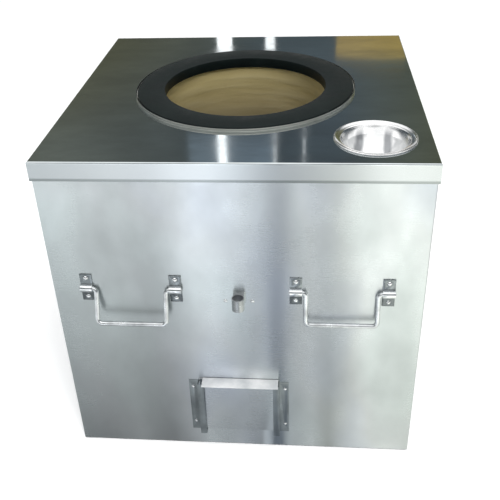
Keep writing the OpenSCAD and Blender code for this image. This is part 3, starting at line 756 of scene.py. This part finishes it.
# %% Rounded copies
ROUNDED = {
    **dict.fromkeys(SADDLES, (saddle_steel, 0.0006)), **dict.fromkeys(RAILS, (rail_steel, 0.0005)),
    "air_door": (front_sheet, 0.0005), "fire_grate": (grate_iron, 0.0012),
    "fire_bricks": (pale_brick, 0.0020), "grate_stubs": (pale_brick, 0.0022),
}
filed = {}
for solid, (finish, radius) in ROUNDED.items():
    shape = copy_of(solid)
    round_edges(shape, radius)
    filed[solid] = add_piece(solid + "_filed", shape, finish, solid)

# a painted highlight: the door's top flange, all of it that lies above this height, is painted
# near white on a rougher finish
FLANGE_FOOT = 0.2032
door = filed["air_door"].data
door.materials.append(pull_steel)
for face in door.polygons:
    face.material_index = int(face.center.z > FLANGE_FOOT)

# %% [markdown]
# ## Dressing the pieces that keep their shape
#
# Folded sheet, bent bar and fasteners are exact in the construction model, so they only trade
# their plain material for one of the finishes above.

# %% Give the finishes to the steel pieces
FINISHES = {
    front_sheet: ["front_panel", "rear_panel", "air_door"],
    side_sheet: ["left_panel", "right_panel"],
    deck_sheet: ["top_deck"],
    bar_steel: ["bail_" + corner for corner in CORNERS],
    tube_steel: ["rod_socket"],
    head_steel: ["panel_rivets", "deck_screws", "rail_rivets", "socket_rivets",
                 "handle_bolts_front", "handle_bolts_rear",
                 "handle_nuts_front", "handle_nuts_rear"],
    duct_steel: ["air_duct", "socket_plate"],
    frame_paint: ["base_plate", "base_frame", "corner_posts", "top_frame"],
    # the solids that a piece above stands for get its finish too
    saddle_steel: SADDLES,
    rail_steel: RAILS,
    grate_iron: ["fire_grate"],
    ring_iron: ["mouth_ring"],
    band_steel: ["mouth_trim"],
    bowl_steel: ["water_bowl"],
    pot_clay: ["clay_pot"],
    pale_brick: BRICKS,
    collar_mortar: ["mortar_collar"],
    packed_wool: ["wool_packing"],
}
for finish, names in FINISHES.items():
    for name in names:
        cad[name].data.materials.clear()
        cad[name].data.materials.append(finish)
print("dressed:", sum(len(names) for names in FINISHES.values()), "of", len(cad))

# %% [markdown]
# ## The studio
#
# The floor is one large pale sheet, and it fills the picture. Most of the light comes from a
# bright sky straight overhead, which lights the floor evenly out to its far edge. Lower down the
# sky is dim, because that is the part that the polished deck mirrors: a photographer would stand
# dark cards there for the same reason. One lamp at the front looks down into the pot.

# %% Floor
FLOOR_HALF = 14.0
FLOOR = (0.92, 0.92, 0.92)
floor_finish, floor_shader = start_finish("pale floor", FLOOR, 0.0, 0.9)
floor_shader.inputs["Specular IOR Level"].default_value = 0.0
# to the camera and to mirroring metal the floor is plain white, with the oven's shadow on it
rays = add_node(floor_finish, "ShaderNodeLightPath").outputs
mirrored = reckon(floor_finish, "MAXIMUM", rays["Is Glossy Ray"], rays["Is Transmission Ray"])
seen = reckon(floor_finish, "MAXIMUM", rays["Is Camera Ray"], mirrored)
link_to(floor_finish, blend_colours(floor_finish, seen, (*FLOOR, 1), (1, 1, 1, 1)),
        floor_shader, "Base Color")
floor_shader.inputs["Emission Color"].default_value = (1, 1, 1, 1)
link_to(floor_finish, times(floor_finish, seen, 0.06), floor_shader, "Emission Strength")
floor_mesh = bpy.data.meshes.new("floor")
shape = bmesh.new()
bmesh.ops.create_grid(shape, x_segments=1, y_segments=1, size=FLOOR_HALF)
shape.to_mesh(floor_mesh)
shape.free()
floor = bpy.data.objects.new("floor", floor_mesh)
floor.location.z = -0.0008
floor.data.materials.append(floor_finish)
bpy.context.scene.collection.objects.link(floor)
print("floor:", 2 * FLOOR_HALF, "m across")

# %% World and lamps
world = bpy.data.worlds.new("room")
world.use_nodes = True
bpy.context.scene.world = world
direction = add_node(world, "ShaderNodeTexCoord").outputs["Generated"]
aside, ahead_of_us, height = parts_of(world, direction)
# white at the horizon and overhead, and dim between
sky = shades(world, height, [
    (0.0, FLOOR), (0.13, FLOOR), (0.22, (0.080, 0.102, 0.110)),
    (0.40, (0.076, 0.096, 0.112)), (0.54, (0.066, 0.082, 0.090)), (0.72, (1.0, 1.0, 1.0))])
sky_glow = span(world, height, 0.5, 0.72, 1.0, 1.45)
# behind the oven, to the left and the right, the dim sky turns olive, like a workshop's walls
low_sky = times(world, span(world, height, 0.60, 0.52, 0.0, 1.0),
                span(world, height, 0.13, 0.22, 0.0, 1.0))
behind = times(world, span(world, ahead_of_us, 0.62, 0.78, 0.0, 1.0), low_sky)
left = times(world, span(world, aside, -0.05, -0.40, 0.0, 1.0), behind)
right = times(world, span(world, aside, 0.04, 0.26, 0.0, 1.0), behind)
lower = span(world, height, 0.40, 0.28, 0.0, 1.0)
left_wall = blend_colours(world, lower, (0.145, 0.155, 0.130, 1), (0.165, 0.150, 0.062, 1))
right_wall = blend_colours(world, lower, (0.132, 0.134, 0.070, 1), (0.118, 0.124, 0.052, 1))
sky = blend_colours(world, left, sky, left_wall)
sky = blend_colours(world, right, sky, right_wall)
# and it is blotchy, like a room that is out of focus
blotch = span(world, clouds(world, direction, 4.5, detail=2.0), 0.35, 0.65, 0.72, 1.30)
sky = blend_colours(world, low_sky, sky, blotch, "MULTIPLY")
# the camera itself sees plain white behind the floor
seen = add_node(world, "ShaderNodeLightPath").outputs["Is Camera Ray"]
sky = blend_colours(world, seen, sky, (1, 1, 1, 1))
world.node_tree.links.new(sky, world.node_tree.nodes["Background"].inputs["Color"])
world.node_tree.links.new(sky_glow, world.node_tree.nodes["Background"].inputs["Strength"])


def soft_lamp(name, at, aim, size, power, colour=(1, 1, 1)):
    """A rectangular lamp that lights the oven and its mirrors, but isn't itself in the picture."""
    lamp = bpy.data.objects.new(name, bpy.data.lights.new(name, "AREA"))
    lamp.data.shape = "RECTANGLE"
    lamp.data.size, lamp.data.size_y = size
    lamp.data.energy = power
    lamp.data.color = colour
    lamp.location = at
    lamp.rotation_euler = (Vector(at) - Vector(aim)).to_track_quat("Z", "Y").to_euler()
    lamp.visible_camera = False
    bpy.context.scene.collection.objects.link(lamp)
    return lamp


# bare metal doesn't mirror this lamp, or it would show as burnt-out spots
pot_lamp = soft_lamp("into the pot", (0.7, -2.3, 3.9), (0.0, 0.1, 0.6), (1.1, 1.1), 92.0)
pot_lamp.visible_glossy = False
print("the lamp is", round((pot_lamp.location - Vector((0, 0, RIM))).length, 2), "m from the pot")

# %% [markdown]
# ## What the metal mirrors
#
# Steel has hardly a colour of its own: it looks like what stands round it. A bare white room
# makes it look like plastic, so a studio sets up things for it to mirror and keeps them out of
# the picture. The deck gets a few narrow windows, a faint haze round two of them, and a warm
# wall. They stand behind the oven, where the deck's mirror points, and only reflections see them.

# %% Windows and a wall for the deck
BEHIND = 2.5


def strip_window(name, x, low, high, width, glow, colour=(1, 1, 1)):
    """An upright strip of light behind the middle of the oven, as bright as glow."""
    tall = high - low
    middle = (low + high) / 2
    lamp = soft_lamp(name, (x, BEHIND, middle), (x * 0.6, 0.0, middle), (width, tall),
                     glow * math.pi * width * tall, colour)
    lamp.visible_diffuse = False


strip_window("left window", -0.38, 1.62, 2.30, 0.050, 2.0)
strip_window("left window below", -0.335, 1.30, 1.56, 0.085, 1.6)
strip_window("middle window", -0.075, 1.36, 1.47, 0.052, 1.5)
strip_window("middle window below", -0.060, 1.85, 2.30, 0.018, 0.8)
strip_window("right window", 0.120, 1.85, 2.22, 0.013, 0.6)
strip_window("window haze", -0.33, 1.97, 2.45, 0.52, 0.17, (0.62, 0.80, 1.0))
strip_window("warm wall", 0.49, 1.20, 1.50, 0.39, 0.31, (1.0, 0.60, 0.01))
print("lamps and windows:", len(bpy.data.lights))

# %% [markdown]
# ## A shop floor for the upright sheets
#
# The upright sheets look down at the floor. A plain white floor would make them flat, so they
# mirror a card instead: a shop floor with lanes of light and shade that fan out from behind the
# oven. It is dim close to the oven and brighter further out and to the right. It glows by
# itself, and no other ray than a mirrored one meets it.

# %% Shop floor card
CARD_HALF = 3.0
FAN_AXIS = (0.14, 0.81)
LEFT_LANE, RIGHT_LANE = -0.436, 0.200
DARK_LANE = 0.61
DARK = (0.06, 0.07, 0.085)

card_finish = bpy.data.materials.new("shop floor")
card_finish.use_nodes = True
card_finish.node_tree.nodes.remove(card_finish.node_tree.nodes["Principled BSDF"])
spot = place_on(card_finish)
parts = parts_of(card_finish, spot)
# how far aside a place lies, as a share of how far it is from the fan's axis; behind the oven
# the lanes are the same, turned round
fan = reckon(card_finish, "DIVIDE", reckon(card_finish, "SUBTRACT", parts["X"], FAN_AXIS[0]),
             plus(card_finish, reckon(card_finish, "ABSOLUTE", parts["Y"]), FAN_AXIS[1]))
lane = span(card_finish, fan, LEFT_LANE, RIGHT_LANE, 0.0, 1.0)
lanes = shades(card_finish, lane, [
    (0.00, (0.42, 0.45, 0.46)), (0.10, (0.49, 0.51, 0.52)), (0.20, (0.63, 0.66, 0.67)),
    (0.29, (0.48, 0.50, 0.52)), (0.40, (0.80, 0.84, 0.87)), (0.50, (0.61, 0.65, 0.69)),
    (0.57, (0.50, 0.54, 0.58)), (DARK_LANE - 0.012, DARK), (DARK_LANE + 0.012, DARK),
    (0.66, (0.40, 0.42, 0.43)), (0.71, (0.46, 0.48, 0.48)), (0.76, (0.36, 0.38, 0.36)),
    (0.85, (0.76, 0.78, 0.74)), (1.00, (0.70, 0.72, 0.67))])
# how bright each lane is close by, and how much brighter it gets further out
from_dark = reckon(card_finish, "ABSOLUTE", reckon(card_finish, "SUBTRACT", lane, DARK_LANE))
close = plus(card_finish, span(card_finish, lane, 0.58, 0.64, 0.36, 0.78),
             span(card_finish, from_dark, 0.01, 0.05, 1.0, 0.0))
far = shades(card_finish, lane, [
    (0.30, (0.80, 0.80, 0.80)), (0.36, (1.0, 1.0, 1.0)), (0.50, (1.0, 1.0, 1.0)),
    (0.56, (0.80, 0.80, 0.80)), (0.80, (0.76, 0.76, 0.76)), (0.87, (0.98, 0.98, 0.98)),
    (1.00, (0.86, 0.86, 0.86))])
rise = add_node(card_finish, "ShaderNodeMapRange", {
    "Value": length_of(card_finish, spot), "From Min": 0.42, "From Max": 1.95,
    "To Min": close, "To Max": times(card_finish, far, 1.78)},
    interpolation_type="SMOOTHSTEP").outputs["Result"]
drift = clouds(card_finish, place_on(card_finish, stretch=(4.2, 1.1, 1)), 1.0)
wander = span(card_finish, drift, 0.35, 0.65, 1.50, 1.95)
# beside the oven the shop floor is dimmer again, so its sides don't burn out
beside = span(card_finish, fan, 0.24, 0.70, 1.0, 0.60)
strength = times(card_finish, times(card_finish, rise, wander), beside)
glow = add_node(card_finish, "ShaderNodeEmission", {"Color": lanes, "Strength": strength})
card_finish.node_tree.links.new(
    glow.outputs["Emission"], card_finish.node_tree.nodes["Material Output"].inputs["Surface"])

shape = bmesh.new()
bmesh.ops.create_grid(shape, x_segments=1, y_segments=1, size=CARD_HALF)
card_mesh = bpy.data.meshes.new("shop_floor_card")
shape.to_mesh(card_mesh)
shape.free()
card = bpy.data.objects.new("shop_floor_card", card_mesh)
card.location.z = -0.0004
card.data.materials.append(card_finish)
for ray in ("visible_camera", "visible_diffuse", "visible_shadow", "visible_transmission",
            "visible_volume_scatter"):
    setattr(card, ray, False)
bpy.context.scene.collection.objects.link(card)
print("card:", 2 * CARD_HALF, "m across")
